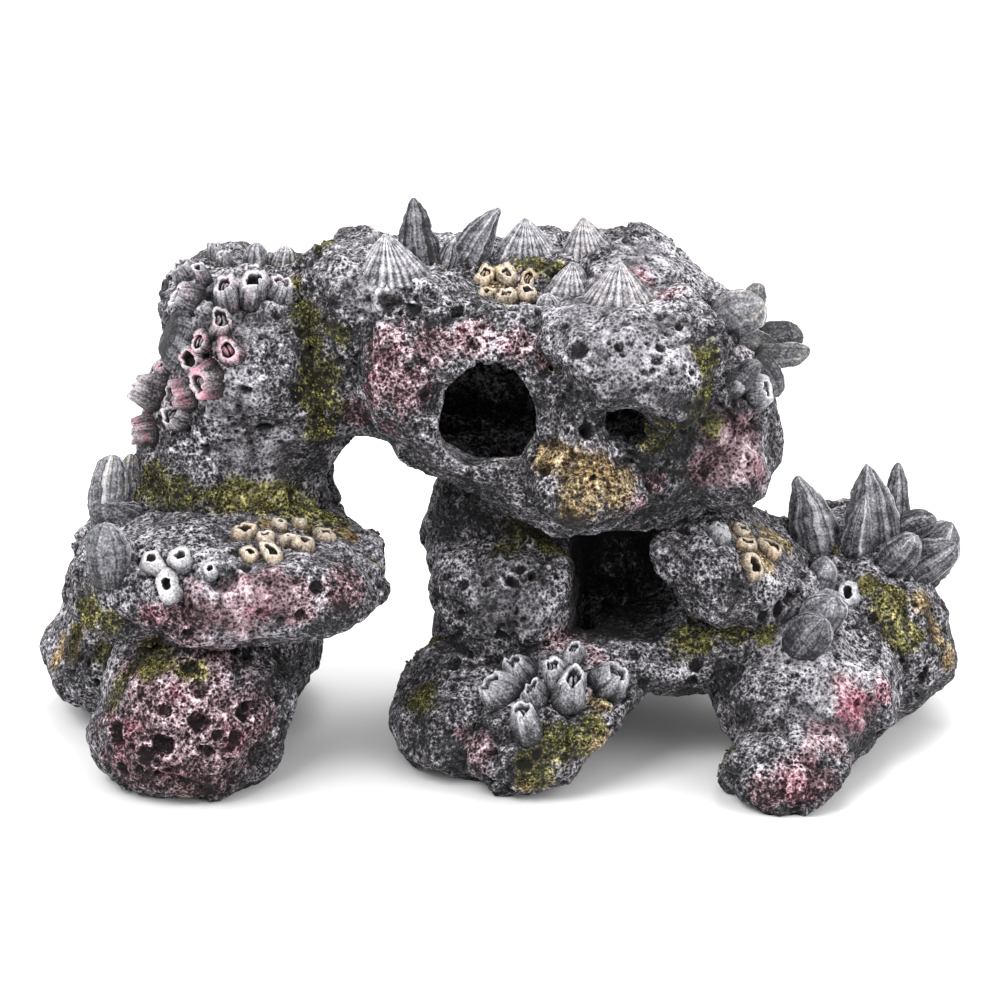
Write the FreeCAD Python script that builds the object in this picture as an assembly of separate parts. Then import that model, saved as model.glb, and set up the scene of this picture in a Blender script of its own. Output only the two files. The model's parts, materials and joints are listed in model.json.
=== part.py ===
"""Cast resin cave ornament for an aquarium: a reef of bonded stones with limpets, mussels and barnacles.

Millimetres, +Z up, -Y towards the front, origin at the centre of the bounding box's underside.
Every stone is a faceted casting. Neighbouring stones meet on one shared bond face, because the stone
that stands in front keeps its full shape and the one behind is cut to fit it. Every shell is a casting
of its own, bedded in a shallow socket in the stone that it sits on.
"""

import FreeCAD
import Part

import math
import os
import random

V = FreeCAD.Vector

# ---------------------------------------------------------------- driving dimensions

FACETS_AROUND = 20          # corners of a stone's outline
ROUGHNESS = 0.9             # how far a stone's corners wander in and out
VIEWPOINT = V(-1, -1052, 404)   # shells are laid out on the upright plane y = 0, as seen from here

BEDDING = 1.2               # how deep a small shell's foot is set into its stone
BEDDING_SHARE = 0.2         # and how much deeper a wide one goes, as a share of its radius

BARNACLE_PLATES = 8         # wall plates around a barnacle
BARNACLE_RIM = 0.66         # outer radius of the rim, as a share of the foot's radius
BARNACLE_MOUTH = 0.46       # radius of the mouth, as a share of the foot's radius
BARNACLE_WELL = 0.5         # depth of the mouth, as a share of the height

LIMPET_RIBS = 12            # ribs around a limpet
LIMPET_GROOVE = 0.92        # radius in a groove, as a share of the radius on a rib

MUSSEL_FACETS = 10          # facets around a mussel
MUSSEL_THICKNESS = 0.62     # across both valves, as a share of the width
# How wide a mussel is along its length, both as shares.
MUSSEL_PROFILE = [(0, 0.55), (0.25, 0.88), (0.5, 1.0), (0.72, 0.86), (0.9, 0.48), (1.0, 0.14)]

# A stone is a stack of outlines. "x" stones list (x, y from, y to, z from, z to) at each outline,
# and "z" stones list (z, x from, x to, y from, y to). The number is how square the outlines are:
# 2 is an ellipse and 4 is nearly a rectangle. A stone keeps its full shape where it meets a later one.
STONES = {
    # left tower
    "left_foot_rock": ("z", 2.3, [
        (0, -121, -82, -60, -20), (7, -130, -75, -68, -12), (17, -133, -70, -74, -6),
        (29, -131, -69, -73, -5), (40, -126, -74, -66, -8), (47, -117, -84, -54, -16)]),
    "left_shelf_rock": ("x", 4.0, [
        (-140, -32, 8, 58, 72), (-134, -50, 28, 53, 79), (-122, -62, 38, 48, 82),
        (-104, -68, 44, 47, 84), (-84, -69, 42, 49, 84), (-64, -66, 30, 53, 82),
        (-51, -62, 12, 56, 79), (-43, -54, 0, 59, 76), (-39, -42, -14, 62, 72)]),
    "left_shoulder_rock": ("z", 2.8, [
        (116, -100, -60, -24, 22), (122, -105, -57, -30, 30), (134, -108, -57, -33, 35),
        (146, -109, -58, -28, 37), (155, -107, -60, -20, 37), (161, -99, -66, -8, 28)]),
    "left_column_rock": ("z", 2.6, [
        (76, -130, -54, -24, 42), (84, -127, -57, -22, 44), (94, -122, -58, -23, 44),
        (104, -119, -54, -24, 44), (114, -119, -48, -24, 42), (124, -116, -46, -20, 38),
        (131, -106, -52, -12, 28)]),
    "left_heel_rock": ("z", 2.5, [
        (0, -140, -84, 0, 54), (8, -149, -72, -10, 64), (18, -157, -63, -15, 70),
        (30, -152, -61, -16, 70), (42, -145, -70, -13, 64), (54, -139, -80, -9, 54),
        (60, -132, -88, -2, 42)]),
    # arch and cave head
    "brow_rock": ("x", 2.3, [
        (-59, -6, 18, 150, 159), (-51, -20, 28, 146, 165), (-40, -32, 32, 143, 168),
        (-28, -36, 32, 142, 167), (-16, -33, 28, 142, 161), (-7, -22, 18, 143, 156)]),
    "slab_rock": ("z", 2.5, [
        (120, 42, 52, -48, -32), (127, 31, 61, -54, -26), (135, 18, 66, -57, -20),
        (144, 12, 70, -56, -16), (152, 14, 69, -51, -12), (158, 24, 60, -42, -15)]),
    "nose_rock": ("z", 2.4, [
        (86, 21, 36, -54, -36), (91, 14, 44, -60, -30), (98, 8, 48, -62, -27),
        (106, 9, 44, -58, -25), (114, 13, 35, -51, -25), (124, 13, 32, -48, -25),
        (136, 11, 36, -46, -25)]),
    "crown_rock": ("z", 2.3, [
        (146, 16, 68, -22, 42), (153, 20, 67, -24, 43), (159, 22, 63, -18, 40),
        (164, 25, 58, -8, 35), (168, 30, 52, 4, 29), (170.5, 37, 46, 11, 23)]),
    "ridge_rock": ("x", 2.4, [
        (-40, 6, 34, 146, 159), (-27, -3, 42, 145, 165), (-6, -6, 44, 145, 166),
        (12, -5, 44, 145, 166), (26, -2, 42, 145, 165), (35, 6, 34, 147, 159)]),
    "lobe_rock": ("z", 2.3, [
        (85, 66, 79, -20, 8), (90, 57, 86, -30, 24), (97, 52, 91, -34, 34),
        (104, 50, 92, -34, 37), (111, 53, 89, -28, 34), (116, 61, 82, -16, 24)]),
    "temple_rock": ("z", 2.4, [
        (108, 56, 84, -22, 34), (116, 54, 89, -27, 40), (126, 54, 90, -27, 42),
        (136, 54, 86, -24, 40), (145, 54, 79, -16, 34), (152, 58, 71, -4, 24)]),
    "neck_rock": ("x", 2.6, [
        (-70, -12, 28, 104, 156), (-61, -22, 33, 104, 164), (-52, -26, 35, 105, 168),
        (-43, -28, 37, 107, 169), (-34, -26, 35, 109, 162)]),
    "head_rock": ("x", 2.9, [
        (-46, -26, 30, 116, 148), (-41, -40, 40, 111, 156), (-32, -45, 48, 105, 160),
        (-20, -46, 54, 96, 158), (-5, -45, 57, 87, 156), (12, -44, 58, 79, 156),
        (30, -44, 58, 76, 156), (48, -42, 56, 76, 154), (62, -37, 52, 80, 149),
        (73, -28, 44, 88, 140), (82, -12, 32, 98, 130)]),
    # centre pier
    "front_base_rock": ("z", 2.4, [
        (0, -7, 17, -60, -18), (6, -12, 26, -67, -12), (14, -13, 34, -69, -10),
        (22, -9, 41, -63, -9), (30, -2, 43, -54, -8), (37, 6, 37, -45, -10), (41, 13, 30, -36, -14)]),
    "front_toe_rock": ("z", 2.3, [
        (0, -26, 0, -42, 6), (7, -34, 2, -50, 10), (16, -36, 4, -50, 14),
        (26, -28, 6, -42, 16), (34, -20, 6, -32, 16), (39, -13, 0, -22, 10)]),
    "globe_rock": ("z", 2.1, [
        (35, -8, 11, -24, -4), (41, -16, 19, -31, 4), (48, -20, 23.5, -34, 8), (55, -21.5, 24.5, -35, 9),
        (62, -20, 23, -33, 7), (68, -15, 18, -28, 2), (73, -7, 11, -21, -5)]),
    "bridge_rock": ("x", 2.5, [
        (30, -26, 18, 26, 38), (38, -34, 26, 24, 41), (52, -37, 30, 23, 43),
        (66, -37, 32, 23, 45), (82, -33, 32, 24, 47)]),
    "rear_column_rock": ("z", 2.5, [
        (0, -13, 16, 8, 52), (10, -19, 21, 0, 58), (24, -22, 25, -6, 62),
        (38, -22, 28, -8, 64), (50, -22, 29, -7, 64), (62, -26, 29, -6, 64),
        (76, -24, 27, -6, 62), (88, -18, 24, -4, 58), (98, -12, 20, 0, 50)]),
    "cave_back_rock": ("z", 2.8, [
        (16, 22, 66, 34, 58), (28, 16, 76, 28, 66), (50, 14, 80, 26, 70),
        (72, 16, 78, 26, 68), (86, 20, 68, 30, 60)]),
    # right tower
    "ledge_rock": ("x", 2.6, [
        (50, -28, -4, 60, 76), (57, -37, 18, 52, 81), (67, -39, 28, 45, 82),
        (80, -35, 33, 43, 77), (92, -29, 34, 43, 69), (102, -19, 28, 46, 60)]),
    "right_foot_rock": ("z", 2.3, [
        (0, 73, 102, -70, -42), (6, 69, 110, -76, -36), (14, 71, 111, -75, -33),
        (21, 78, 106, -66, -31), (27, 84, 100, -56, -35)]),
    "right_leg_rock": ("z", 2.4, [
        (0, 81, 112, -42, 12), (8, 76, 122, -49, 20), (18, 71, 132, -53, 26),
        (28, 66, 134, -52, 29), (38, 72, 128, -44, 29), (46, 82, 117, -34, 25),
        (52, 90, 107, -24, 14)]),
    "right_rear_rock": ("z", 2.5, [
        (0, 108, 132, 0, 46), (8, 106, 142, -6, 54), (20, 103, 151, -12, 60),
        (32, 102, 151, -14, 61), (44, 100, 147, -12, 59), (52, 98, 142, -6, 56),
        (60, 100, 138, 6, 52), (66, 107, 132, 20, 46)]),
    "rear_ledge_rock": ("x", 2.4, [
        (50, 4, 36, 54, 72), (62, -1, 42, 50, 76), (76, -2, 44, 46, 74),
        (90, 3, 44, 42, 67), (102, 8, 40, 40, 61)]),
}

# Hollows, cut from every stone that they reach. Same forms as the stones.
HOLLOWS = {
    "upper_cave": ("x", 2.4, [
        (-33, -14, 16, 112, 130), (-22, -30, 32, 103, 140), (0, -35, 38, 97, 143),
        (25, -35, 38, 97, 143), (45, -31, 34, 101, 139), (57, -16, 20, 108, 127)]),
    "upper_mouth": ("y", 2.3, [
        (-70, -23, 14, 103, 140), (-44, -21, 12, 105, 138), (-20, -21, 14, 104, 138)]),
    "side_mouth": ("y", 2.0, [
        (-80, 30, 48, 110, 129), (-42, 32, 46, 112, 128), (-20, 32, 46, 112, 128)]),
    "rear_mouth": ("y", 2.2, [
        (24, 24, 54, 106, 132), (45, 26, 56, 106, 134), (80, 22, 60, 102, 138)]),
    "lower_cave": ("z", 2.6, [
        (42, 27, 57, -50, 20), (50, 23, 58, -50, 28), (62, 22, 58, -50, 28), (74, 24, 52, -50, 24),
        (80, 29, 44, -50, 18)]),
}

# The cave head is cast in blocks that close around its chamber.
# Each is (x from, x to, y from, y to, z from, z to).
HEAD_FLOOR, HEAD_ROOF = 99, 141
HEAD_BLOCKS = {
    "head_floor_rock": (-200, 200, -100, 100, 0, HEAD_FLOOR),
    "head_roof_rock": (-200, 200, -100, 100, HEAD_ROOF, 200),
    "head_front_left_rock": (-200, -4, -100, 0, HEAD_FLOOR, HEAD_ROOF),
    "head_front_post_rock": (-4, 39, -100, 0, HEAD_FLOOR, HEAD_ROOF),
    "head_front_right_rock": (39, 200, -100, 0, HEAD_FLOOR, HEAD_ROOF),
    "head_back_left_rock": (-200, -20, 0, 100, HEAD_FLOOR, HEAD_ROOF),
    "head_back_post_rock": (-20, 40, 0, 100, HEAD_FLOOR, HEAD_ROOF),
    "head_back_right_rock": (40, 200, 0, 100, HEAD_FLOOR, HEAD_ROOF),
}

# Limpets and barnacles, each (across, up, foot radius, height, lean right, lean up). Across and up are
# its place on the layout plane. It stands square to the stone there, tipped by its two leans.
LIMPETS = {
    "brow_limpet": [(-36, 162, 13, 10, -0.1, 0.8)],
    "ridge_limpets": [(7, 168, 11.5, 10, 0, 1.5), (27, 168, 10.5, 10, 0.2, 1.5)],
    "slab_limpets": [(22, 155, 11, 8.5, 0, 0.9), (37.5, 151.5, 13, 11, 0, 0.9)],
    "ridge_fan_shell": [(15, 149, 4.6, 3.5, 0, 0)],
    "shoulder_cone_shells": [(-80, 163, 5, 6.5, 0, 1), (-71, 163, 4.6, 5.5, 0.2, 1)],
}
BARNACLES = {
    "brow_barnacle": [(-41, 168, 3.8, 4.5, -0.2, 1)],
    "ridge_cream_barnacles": [
        (-6, 158, 4.2, 3.8, 0, 0.4), (1, 159, 4.2, 3.8, 0, 0.4), (8, 157, 3.6, 3.4, 0, 0.4),
        (-5, 152, 4, 3.4, 0, 0), (1, 151, 4.2, 3.6, 0, 0), (8, 152, 3.8, 3.4, 0.1, 0)],
    "shoulder_top_barnacles": [
        (-90, 151, 5.6, 6.5, 0, 0), (-81, 153, 6, 5.5, 0, 0.1), (-73, 153, 4.8, 4.5, 0.1, 0.1),
        (-90, 162, 3.8, 4.5, 0, 0.8), (-102, 158, 4.6, 5.5, -0.4, 0.6), (-97, 157, 3.4, 5, -0.1, 0.4),
        (-102, 150, 5.2, 5.5, -0.2, 0), (-93, 164, 3.2, 5, -0.1, 1)],
    "shoulder_low_barnacles": [
        (-92, 142, 4.8, 4.5, 0, 0), (-89, 133, 5.2, 5.5, 0, -0.1), (-98, 136, 3.8, 4, -0.2, 0),
        (-101, 130, 5, 4.5, -0.2, 0.2), (-96, 124, 5.4, 6.5, -0.1, 0.2), (-103, 119, 5.2, 6.5, -0.2, 0.2),
        (-109, 126, 4, 4.5, -0.3, 0.3), (-114, 119, 5.8, 7, -0.4, 0.2), (-106, 111, 4.8, 5.5, -0.3, 0),
        (-116, 107, 4.8, 5.5, -0.4, 0.1)],
    "shelf_white_barnacles": [
        (-116.5, 59.5, 4.8, 4.5, -0.1, 0), (-107.5, 61, 4.6, 4.5, 0, 0), (-111.5, 52.5, 4.8, 4.5, -0.1, 0),
        (-98, 58, 3, 2.5, 0, 0)],
    "shelf_cream_barnacles": [
        (-86, 70.5, 4.6, 4, 0, 0.2), (-84.5, 63, 4, 3.5, 0, 0), (-79, 68, 3.6, 3.5, 0, 0.1),
        (-77, 63.5, 4.6, 4, 0, 0), (-72, 68, 3.6, 3.5, 0, 0.1), (-74.5, 73, 3.2, 3.5, 0, 0.5),
        (-67, 73.5, 3.4, 3.5, 0, 0.5), (-66.5, 66.5, 4.6, 4, 0.1, 0), (-59, 70, 4, 3.5, 0.1, 0.2)],
    "temple_barnacles": [(83, 120, 5, 5, 0.4, 0), (76, 124, 4.4, 4.5, 0.2, 0.2)],
    "base_barnacles": [
        (6.5, 20.5, 4.8, 7, 0, 0.3), (0.5, 14, 6.4, 7, -0.2, 0.1), (12, 13, 4.4, 5.5, -0.3, 0.1),
        (17.5, 20, 5, 6, 0, 0.3), (22.5, 14, 6.6, 9, 0.1, 0.3), (8.5, 1, 5.4, 10, 0, 0.6),
        (34.5, 17, 5.8, 7.5, 0.4, 0.2), (23.5, 27, 4.6, 5, 0, 0.5)],
    "ledge_white_barnacle": [(72, 71, 4.8, 4, 0, 0.4)],
    "ledge_gold_barnacles": [
        (79, 71, 3.2, 4, 0, 0.4), (81, 66, 3.2, 4, 0, 0.3), (88, 65, 4.2, 4.5, 0.1, 0.4),
        (83, 59, 4.2, 4.5, 0, 0.3)],
    "leg_barnacle": [(115.5, 49.5, 4.2, 5, 0.1, 0.1)],
}

# Mussels and other paired shells, each (across, up, length, width, heading, lean). The place is that of
# the rooted end, the heading turns the tip clockwise from straight up, and the lean brings it forward.
MUSSELS = {
    "top_left_mussels": [
        (-27, 165, 19, 14, -10, 0), (-19, 162, 12, 8, 14, 25), (-12, 164, 20, 13, 26, -10)],
    "left_mussels": [(-131, 76, 22, 13, 0, 0), (-124, 81, 16, 9, -4, -8)],
    "left_round_shells": [(-131, 57, 18, 15, -2, 12), (-121, 78, 14, 10, -88, 12)],
    "shoulder_long_shell": [(-104, 145, 17, 10, 188, 20)],
    "temple_mussels": [
        (73, 144, 14, 13, 50, 20), (80, 144, 13, 8, 8, 0), (86, 133, 13, 9, -55, 30),
        (85, 138, 13, 9, 85, 0), (85, 132, 15, 7, 92, 10), (84, 129, 12, 8, 140, 20),
        (74, 120, 15, 7, 46, 20)],
    "rear_tall_mussels": [
        (104, 68, 24, 18, -4, 5), (117, 66, 20, 11, 0, 15), (123, 72, 23, 18, 2, 0),
        (129.5, 74, 21, 11, 4, -8)],
    "rear_low_mussels": [
        (129, 59.5, 16, 11, 33, 25), (137, 59, 17, 13, 40, 20), (140, 58, 19, 14, 36, 0),
        (131, 71, 14, 9, 56, 0)],
    "leg_round_shells": [
        (105, 52.5, 12, 11, 20, 20), (105.5, 39, 14, 15, 15, 25), (100.5, 31.5, 14, 15, 28, 25)],
}


def outline(centre, half, square, seed):
    """Corner points of one rounded outline about its centre, as (a, b) pairs."""
    wander = random.Random(seed)
    points = []
    for i in range(FACETS_AROUND):
        angle = 2 * math.pi * i / FACETS_AROUND
        c, s = math.cos(angle), math.sin(angle)
        reach = (abs(c) ** square + abs(s) ** square) ** (-1 / square)
        bump = wander.uniform(-ROUGHNESS, ROUGHNESS)
        across, up = reach * half[0] + bump, reach * half[1] + bump
        points.append((centre[0] + c * across, centre[1] + s * up))
    return points


def skin(rows):
    """A closed solid over rows of points, with flat ends, and the triangles of its skin."""
    triangles = []
    n = len(rows[0])
    for low, high in zip(rows, rows[1:]):
        for i in range(n):
            j = (i + 1) % n
            triangles += [(low[i], low[j], high[j]), (low[i], high[j], high[i])]
    faces = [Part.Face(Part.makePolygon([a, b, c, a])) for a, b, c in triangles]
    for row in (rows[0], rows[-1]):
        faces.append(Part.Face(Part.makePolygon(row + row[:1])))
        middle = sum(row, V()) * (1 / n)
        triangles += [(middle, row[i], row[(i + 1) % n]) for i in range(n)]
    solid = Part.makeSolid(Part.makeShell(faces))
    if solid.Volume < 0:
        solid.reverse()
    return solid, triangles


def stack(name, axis, square, sections):
    """A stone or hollow from its outlines along one axis, and its triangles."""
    place = {
        "x": lambda t, a, b: V(t, a, b),
        "y": lambda t, a, b: V(a, t, b),
        "z": lambda t, a, b: V(a, b, t)}
    rows = []
    for i, (t, a0, a1, b0, b1) in enumerate(sections):
        centre, half = ((a0 + a1) / 2, (b0 + b1) / 2), ((a1 - a0) / 2, (b1 - b0) / 2)
        rows.append([place[axis](t, a, b) for a, b in outline(centre, half, square, f"{name} {i}")])
    return skin(rows)


def ring(centre, side, front, wide, thick, count, groove=1.0):
    """Points around an ellipse. Every second point is drawn in to the groove's share."""
    points = []
    for i in range(count):
        angle = 2 * math.pi * i / count
        share = groove if i % 2 else 1.0
        across = side * (wide * share * math.cos(angle))
        points.append(centre + across + front * (thick * share * math.sin(angle)))
    return points


def square_to(axis):
    """Two directions square to an axis and to each other."""
    side = axis.cross(V(0, 0, 1) if abs(axis.z) < 0.9 else V(0, 1, 0)).normalize()
    return side, axis.cross(side)


def barnacle(foot, axis, radius, height):
    """A ring of wall plates around a well."""
    side, front = square_to(axis)
    well_floor = height * (1 - BARNACLE_WELL)
    levels = [(0, 1), (height, BARNACLE_RIM), (height, BARNACLE_MOUTH), (well_floor, 0.3)]
    rows = [ring(foot + axis * up, side, front, radius * r, radius * r, BARNACLE_PLATES)
            for up, r in levels]
    return skin(rows)[0]


def limpet(foot, axis, radius, height):
    """A low ribbed cone."""
    side, front = square_to(axis)
    levels = [(0, 1, LIMPET_GROOVE), (0.5, 0.56, LIMPET_GROOVE), (0.93, 0.13, 1), (1, 0.06, 1)]
    rows = [ring(foot + axis * (height * up), side, front, radius * r, radius * r, 2 * LIMPET_RIBS, groove)
            for up, r, groove in levels]
    return skin(rows)[0]


def mussel(root, axis, face, length, width):
    """A closed pair of pointed valves, with its flat way square to the face direction."""
    side = axis.cross(face).normalize()
    front = side.cross(axis)
    rows = [ring(root + axis * (length * t), side, front, width / 2 * w, width / 2 * w * MUSSEL_THICKNESS,
                 MUSSEL_FACETS) for t, w in MUSSEL_PROFILE]
    return skin(rows)[0]


def first_hit(skins, across, up):
    """Where the line of sight through a layout point first meets a stone, and which way that face looks."""
    heading = (V(across, 0, up) - VIEWPOINT).normalize()
    best = None
    for a, b, c in skins:
        e, f = b - a, c - a
        p = heading.cross(f)
        scale = e.dot(p)
        if abs(scale) < 1e-9:
            continue
        t = VIEWPOINT - a
        u = t.dot(p) / scale
        q = t.cross(e)
        v = heading.dot(q) / scale
        away = f.dot(q) / scale
        if u >= 0 and v >= 0 and u + v <= 1 and (best is None or away < best[0]):
            best = (away, e.cross(f).normalize())
    if best is None:
        raise ValueError(f"no stone at {across}, {up}")
    away, normal = best
    return VIEWPOINT + heading * away, normal if normal.dot(heading) < 0 else -normal


def trimmed(solid, others):
    """What is left of a solid after others are cut away: its largest piece."""
    near = [other for other in others if other.BoundBox.intersect(solid.BoundBox)]
    if near:
        solid = solid.cut(near)
    return max(solid.Solids, key=lambda piece: piece.Volume)


def build_stones():
    """Every stone, hollowed and cut to fit the stones in front of it, and all their triangles."""
    hollows = [stack(name, *form)[0] for name, form in HOLLOWS.items()]
    whole, stones, skins = [], {}, []
    for name, form in STONES.items():
        solid, triangles = stack(name, *form)
        stones[name] = trimmed(solid, hollows + whole)
        whole.append(solid)
        skins += triangles
    return stones, skins


def build_shells(skins):
    """Every shell in its place, as lists of solids by node. Crowded shells are cut to fit each other."""
    shells = {}
    placed = []

    def put(node, solid):
        solid = trimmed(solid, placed)
        placed.append(solid)
        shells.setdefault(node, []).append(solid)

    for table, make in ((LIMPETS, limpet), (BARNACLES, barnacle)):
        for node, rows in table.items():
            for across, up, radius, height, lean_right, lean_up in rows:
                point, normal = first_hit(skins, across, up)
                axis = (normal + V(lean_right, 0, lean_up)).normalize()
                depth = BEDDING + BEDDING_SHARE * radius
                put(node, make(point - axis * depth, axis, radius, height + depth))
    for node, rows in MUSSELS.items():
        for across, up, length, width, heading, lean in rows:
            point, normal = first_hit(skins, across, up)
            turn, tip = math.radians(heading), math.radians(lean)
            axis = V(math.sin(turn) * math.cos(tip), -math.sin(tip), math.cos(turn) * math.cos(tip))
            depth = BEDDING + BEDDING_SHARE * width
            put(node, mussel(point - axis * depth, axis, V(0, -1, 0.3), length + depth, width))
    return shells, placed


def block(x0, x1, y0, y1, z0, z1):
    return Part.makeBox(x1 - x0, y1 - y0, z1 - z0, V(x0, y0, z0))


def build():
    """All nodes by name, with the origin moved to the centre of the bounding box's underside."""
    stones, skins = build_stones()
    shells, placed = build_shells(skins)
    nodes = {name: trimmed(stone, placed) for name, stone in stones.items()}
    head = nodes.pop("head_rock")
    nodes.update({name: head.common(block(*limits)).Solids[0] for name, limits in HEAD_BLOCKS.items()})
    nodes.update({name: Part.makeCompound(solids) for name, solids in shells.items()})
    box = Part.makeCompound(list(nodes.values())).BoundBox
    shift = V(-(box.XMin + box.XMax) / 2, -(box.YMin + box.YMax) / 2, -box.ZMin)
    for shape in nodes.values():
        shape.translate(shift)
    return nodes


os.makedirs("parts", exist_ok=True)
for name, shape in build().items():
    shape.exportStep(f"parts/{name}.step")
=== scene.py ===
import json
import math

import bmesh
import bpy
import numpy as np
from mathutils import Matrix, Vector
from mathutils.bvhtree import BVHTree


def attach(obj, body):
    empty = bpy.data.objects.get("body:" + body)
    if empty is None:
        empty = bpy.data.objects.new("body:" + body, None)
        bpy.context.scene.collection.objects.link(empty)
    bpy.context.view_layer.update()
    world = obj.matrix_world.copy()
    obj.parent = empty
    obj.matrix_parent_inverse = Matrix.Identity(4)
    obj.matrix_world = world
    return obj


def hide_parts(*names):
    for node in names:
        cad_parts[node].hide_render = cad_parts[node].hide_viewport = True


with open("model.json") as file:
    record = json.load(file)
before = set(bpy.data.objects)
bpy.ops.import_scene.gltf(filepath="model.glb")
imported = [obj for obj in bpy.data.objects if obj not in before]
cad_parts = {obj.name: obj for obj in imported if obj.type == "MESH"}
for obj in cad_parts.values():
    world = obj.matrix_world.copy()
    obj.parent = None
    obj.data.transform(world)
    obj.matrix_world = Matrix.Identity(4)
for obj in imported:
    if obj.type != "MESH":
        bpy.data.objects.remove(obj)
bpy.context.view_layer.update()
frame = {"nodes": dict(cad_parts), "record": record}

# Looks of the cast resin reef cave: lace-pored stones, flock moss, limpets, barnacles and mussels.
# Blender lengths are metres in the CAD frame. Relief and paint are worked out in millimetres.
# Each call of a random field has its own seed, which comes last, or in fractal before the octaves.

MM = 0.001

# ---- view

VIEWPOINT = Vector((-0.3, -1048.8, 404.1))  # mm, where the camera stands
LAYOUT_X, LAYOUT_Y = -1.5, 3.2  # mm, middle of the upright plane that paint is laid out on
CAMERA_TILT = math.radians(17)  # below the horizon
CAMERA_LENS, CAMERA_SENSOR = 119.6, 36  # mm

# ---- stone relief, mm

COARSE_VOXEL = 1.3  # first skin, which rounds the castings' facets off
FINE_VOXEL = 0.62
ROUNDING = 12  # smoothing rounds on the first skin
SWELL = 0.6  # how far the skin stands out, so that neighbours meet without a gap
FILLET, FILLET_REACH = 2.4, 4.0  # how far the skin swells to meet a neighbour, and how near that is
JOINT_SHADE_REACH = 3.2  # how near a neighbour the painted shade between stones reaches
LUMP, LUMP_SIZE = 3.4, 26.0  # lumps that break the stones' smooth sides
KNOB, KNOB_SIZE = 1.3, 10.0  # knobs on the lumps
CREASE, CREASE_SPACING = 1.5, 19.0  # creases between the knobs, cut in and painted dark as shade
CRATER_SPACING, CRATER_DEPTH = 8.5, 2.0
CRATER_LIP = 0.25  # height of the rim round a crater
HOLE_SPACING, HOLE_DEPTH = 3.6, 1.4
GRIT, KNOT = 0.4, 0.7  # height of the finest and the middling roughness
WANDER, WANDER_SIZE = 2.6, 15.0  # how far outlines stray sideways
FIELD_PITCH, FIELD_REACH = 3.0, 12.0  # grid for the distances between stones
SHELL_CLEARANCE, OPENING_CLEARANCE = 5.0, 6.5  # how near shells and openings the lumps die out
CHAMBER_SHADE = 6.0  # how far from a chamber its painted shade reaches
WIDE_PIT = 4.8  # radius from which a pit keeps some of its lace
FLOCK_HEIGHT = 0.4  # how far thick moss stands up from the stone

# ---- tone

# The paint's tone runs from 0 in a pore to 1 on a worn thread. Its middle, and what features add:
PLAIN_TONE = 0.44
GRIT_TONE, KNOT_TONE, LIP_TONE = 0.18, 0.17, 0.12
# Holes, craters and pits are painted dark: partly the paint the dry brush missed, partly painted shade in
# them.
HOLE_TONE, CRATER_TONE = -0.42, -0.5
PIT_TONE, WIDE_PIT_TONE, PIT_RIM_TONE = -0.5, -0.3, 0.2
# Painted light: sides that face up are painted lighter and sides that face down darker, as light from above
# falls on them.
PAINTED_TOP_LIGHT, NEAR_MOTTLE, FAR_MOTTLE = 0.17, 0.13, 0.1
# Painted shade: how much darker the creases, the joints between stones and the caves are painted.
CREASE_SHADE_TONE, JOINT_SHADE_TONE, CHAMBER_SHADE_TONE = -0.18, -0.22, -0.45
# Tone that each patch adds, with painted light and painted shade among it.
PATCH_TONES = {"pale": 0.05, "bright": 0.15, "painted_light": 0.18, "dark": -0.18}

# ---- paint

# Each patch is (across, up, radius) in mm on the layout plane, as seen from the viewpoint. Pink, moss and
# gold are paints. Pale patches are worn, those on the head's right end also painted light. The others change
# the tone.
PINK_PATCHES = [
    (-36, 135, 10), (-30, 121, 11), (-40, 122, 8), (-21, 134, 9), (-7, 138, 7), (6, 135, 7), (16, 131, 5),
    (-44, 112, 7), (-34, 108, 5), (46, 157, 6), (57, 152, 6), (78, 101, 14), (86, 93, 9), (69, 94, 7),
    (-84, 44, 13), (-66, 47, 10), (-52, 52, 9), (-102, 42, 10), (-115, 40, 7), (-98, 40, 5), (-75, 56, 5),
    (-107, 2, 33), (-84, 3, 17), (23, 31, 8), (33, 28, 5), (-5, -7, 8), (-11, -1, 5), (121, 9, 10),
    (131, 15, 5), (112, -2, 9), (103, -16, 12), (91, -21, 7), (117, 19, 4), (47, 80, 7), (52, 89, 5),
    (52, 70, 5), (-97, 126, 8), (-100, 150, 6), (-87, 134, 5), (-104, 119, 5)]
MOSS_PATCHES = [
    (-64, 161, 6), (-62, 153, 7), (-61, 145, 7), (-60, 135, 8), (-58, 126, 9), (-58, 117, 8), (-59, 108, 7),
    (-52, 140, 5), (-55, 168, 4), (-87, 85, 9), (-78, 83, 10), (-70, 82, 9), (-63, 77, 8), (-92, 78, 7),
    (-55, 76, 7), (-112, 88, 9), (-120, 85, 7), (-104, 84, 8), (66, 33, 9), (80, 35, 7), (90, 36, 5),
    (11, 73, 9), (4, 68, 6), (18, 66, 7), (66, 118, 8), (58, 110, 6), (52, 103, 6), (70, 132, 6),
    (72, 108, 5), (130, 46, 8), (136, 35, 8), (124, 52, 5), (113, 67, 5), (-127, 28, 9), (-114, 26, 9),
    (-103, 22, 6), (-136, 44, 8), (-141, 33, 6), (-129, 38, 5), (14, -13, 9), (19, -4, 8), (27, -2, 6),
    (32, 4, 5), (-23, 12, 8), (10, 163, 7), (18, 161, 5), (-128, 14, 7)]
GOLD_PATCHES = [
    (18, 97, 8), (30, 92, 11), (41, 86, 9), (28, 82, 8), (45, 90, 6), (1, 155, 8), (8, 152, 5), (92, 69, 8),
    (87, 62, 7), (82, 71, 5), (147, 36, 7), (151, 28, 6), (143, 46, 6), (-145, 43, 8), (-148, 30, 8),
    (-140, 34, 8), (35, 11, 6), (33, -2, 6), (12, -19, 6), (-62, 72, 6), (-50, 72, 6), (-75, 74, 5),
    (-104, -21, 7)]
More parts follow.
